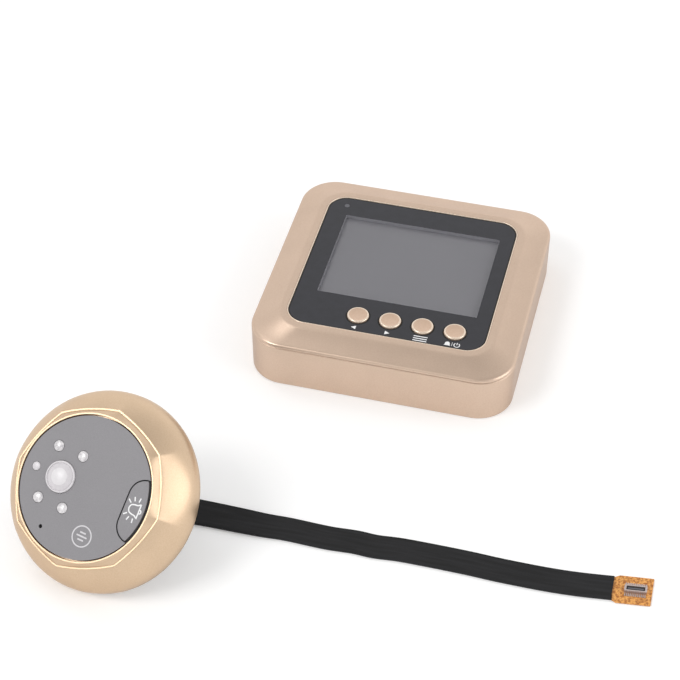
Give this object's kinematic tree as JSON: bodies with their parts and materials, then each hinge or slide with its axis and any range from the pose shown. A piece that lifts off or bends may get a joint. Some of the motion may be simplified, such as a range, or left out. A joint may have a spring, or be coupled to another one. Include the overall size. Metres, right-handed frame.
{
  "type": "peephole door camera",
  "caption": "Indoor door monitor with a flat screen and round push buttons, and a domed outdoor camera unit with bell button, lamps, mounting posts and a flat ribbon cable.",
  "frame": {"origin": "middle of the monitor's back face, on the surface that the part lies on", "axes": "+X to the right of the screen, +Y to the top of the screen, +Z out of the screen and up from the table"},
  "size_m": [0.1778, 0.1728, 0.0418],
  "materials": {
    "champagne_case": "satin champagne gold paint on moulded plastic",
    "black_panel": "back-printed acrylic",
    "clear_window": "clear acrylic",
    "display": "display glass, switched off, grey",
    "foam": "closed-cell foam",
    "black_rubber": "moulded rubber",
    "plated_steel": "nickel plated",
    "amber_film": "amber polyimide film",
    "circuit_board": "solder mask",
    "black_plastic": "moulded",
    "gold_buttons": "satin gold paint",
    "light_pipe": "smoked light pipe",
    "connector_plastic": "moulded connector plastic with plated contacts",
    "cell_sleeve": "plain printed sleeve over a metal can",
    "gold_shell": "satin gold lacquer on a cast shell",
    "face_grey": "fine matt grey",
    "lens": "frosted clear lens",
    "lamp_clear": "clear epoxy",
    "sensor_chip": "chip package",
    "capsule_metal": "drawn can",
    "cover_plastic": "moulded",
    "brass_posts": "turned",
    "ribbon_sleeve": "black cloth-tape sleeve"
  },
  "bodies": {
    "monitor": {"front_bezel": "champagne_case", "rear_case": "champagne_case", "window_panel": "black_panel", "display_window": "clear_window", "display_glass": "display", "display_foam": "foam", "display_backlight": "plated_steel", "battery_contacts": "plated_steel", "case_screws": "plated_steel", "board_screws": "plated_steel", "display_flex": "amber_film", "main_board": "circuit_board", "tact_switches": "black_plastic", "speaker": "black_plastic", "status_light": "light_pipe", "ribbon_socket": "connector_plastic", "battery_cells": "cell_sleeve"},
    "button_left": {"button_left": "gold_buttons"},
    "button_right": {"button_right": "gold_buttons"},
    "button_menu": {"button_menu": "gold_buttons"},
    "button_power": {"button_power": "gold_buttons"},
    "battery_door": {"battery_door": "champagne_case"},
    "outdoor_unit": {"dome_shell": "gold_shell", "face_plate": "face_grey", "bell_switch": "black_plastic", "camera_lens": "lens", "lens_seal": "black_rubber", "lens_barrel": "black_plastic", "image_sensor": "sensor_chip", "ir_lamps": "lamp_clear", "light_sensor": "lamp_clear", "microphone": "capsule_metal", "camera_board": "circuit_board", "board_header": "connector_plastic", "back_cover": "cover_plastic", "back_screws": "plated_steel", "door_gasket": "foam", "mounting_posts": "brass_posts", "ribbon_gland": "black_rubber", "ribbon_cable": "ribbon_sleeve", "ribbon_tail": "amber_film", "ribbon_plug": "connector_plastic"},
    "bell_button": {"bell_button": "face_grey"}
  },
  "joints": [
    {"name": "button_left_press", "type": "slide", "parent": "monitor", "child": "button_left", "axis": [0, 0, -1], "range_m": [0, 0.0005], "stiffness_N_per_m": 2000},
    {"name": "button_right_press", "type": "slide", "parent": "monitor", "child": "button_right", "axis": [0, 0, -1], "range_m": [0, 0.0005], "stiffness_N_per_m": 2000},
    {"name": "button_menu_press", "type": "slide", "parent": "monitor", "child": "button_menu", "axis": [0, 0, -1], "range_m": [0, 0.0005], "stiffness_N_per_m": 2000},
    {"name": "button_power_press", "type": "slide", "parent": "monitor", "child": "button_power", "axis": [0, 0, -1], "range_m": [0, 0.0005], "stiffness_N_per_m": 2000},
    {"name": "battery_door_slide", "type": "slide", "parent": "monitor", "child": "battery_door", "axis": [0, 1, 0], "range_m": [0, 0.038]},
    {"name": "outdoor_unit_lift", "type": "slide", "parent": "monitor", "child": "outdoor_unit", "axis": [0, 0, 1], "range_m": [0, 0.12]},
    {"name": "bell_button_press", "type": "slide", "parent": "outdoor_unit", "child": "bell_button", "axis": [0.1771, 0.6301, -0.7561], "range_m": [0, 0.0006], "stiffness_N_per_m": 2000}
  ]
}
